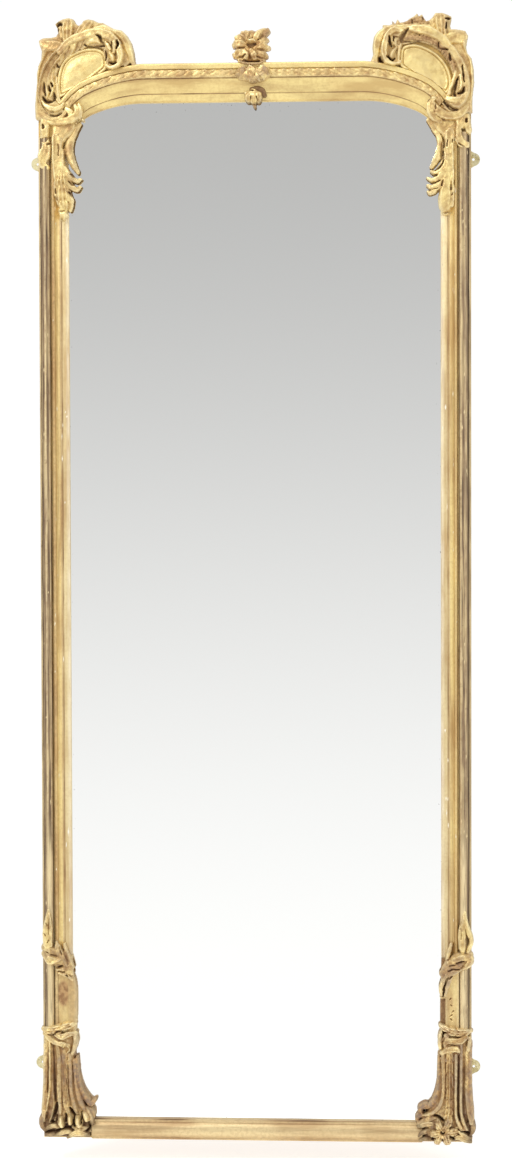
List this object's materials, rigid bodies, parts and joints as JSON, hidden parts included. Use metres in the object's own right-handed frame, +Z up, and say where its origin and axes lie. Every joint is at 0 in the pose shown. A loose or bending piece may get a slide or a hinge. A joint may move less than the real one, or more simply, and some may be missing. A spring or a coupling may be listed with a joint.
{
  "type": "pier mirror",
  "caption": "Tall upright wall mirror in a gilded frame with a shallow arched head, carved scroll corners, a shell at the middle of the head and fluted leaf feet.",
  "frame": {"origin": "middle of the four wall-plate holes, in the plane of the wall", "axes": "+X to the viewer's right, +Z up, +Y into the wall"},
  "size_m": [0.894, 0.07, 2.236],
  "materials": {
    "pine": "aged bare pine, sawn and planed",
    "backboard_pine": "old thin pine boards, darkened and dusty",
    "gilt_moulding": "burnished water gilding on gesso, softly worn",
    "worn_gilt": "gilding rubbed through to brown size with small gesso chips",
    "gilt_carving": "gilded carving, bright on the high places and brown in the hollows",
    "mirror_plate": "silvered plate glass",
    "brass": "dull sheet brass",
    "steel": "plain steel wood screws"
  },
  "bodies": {
    "root": {"stile_left": "pine", "stile_right": "pine", "head_rail": "pine", "bottom_rail": "pine", "torus_left": "worn_gilt", "torus_right": "worn_gilt", "inner_moulding_left": "gilt_moulding", "inner_moulding_right": "gilt_moulding", "slip_left": "gilt_moulding", "slip_right": "gilt_moulding", "head_slip": "gilt_moulding", "head_moulding": "gilt_moulding", "head_enrichment_left": "gilt_moulding", "head_enrichment_right": "gilt_moulding", "bottom_moulding": "gilt_moulding", "crest_board_left": "pine", "crest_board_right": "pine", "crest_panel_left": "gilt_moulding", "crest_panel_right": "gilt_moulding", "crest_scroll_left": "gilt_carving", "crest_scroll_right": "gilt_carving", "crest_crown_left": "gilt_carving", "crest_crown_right": "gilt_carving", "corner_scroll_left": "gilt_carving", "corner_scroll_right": "gilt_carving", "stile_drop_left": "gilt_carving", "stile_drop_right": "gilt_carving", "torus_leaf_top_left": "gilt_carving", "torus_leaf_top_right": "gilt_carving", "torus_leaf_low_left": "gilt_carving", "torus_leaf_low_right": "gilt_carving", "upper_clasp_left": "gilt_carving", "upper_clasp_right": "gilt_carving", "stile_panel_left": "gilt_moulding", "stile_panel_right": "gilt_moulding", "lower_clasp_left": "gilt_carving", "lower_clasp_right": "gilt_carving", "foot_leaf_left": "gilt_carving", "foot_leaf_right": "gilt_carving", "foot_toes_left": "gilt_carving", "foot_flower_right": "gilt_carving", "centre_shell": "gilt_carving", "centre_clasp": "gilt_carving", "centre_drop": "gilt_carving", "shell_peg": "pine", "mirror_glass": "mirror_plate", "glass_blocks": "pine", "backboard_1": "backboard_pine", "backboard_2": "backboard_pine", "backboard_3": "backboard_pine", "backboard_4": "backboard_pine", "backboard_5": "backboard_pine", "backboard_6": "backboard_pine", "backboard_screws": "steel", "wall_plate_top_left": "brass", "wall_plate_top_right": "brass", "wall_plate_bottom_left": "brass", "wall_plate_bottom_right": "brass", "wall_plate_screws": "steel", "crest_screws": "steel"}
  },
  "joints": []
}
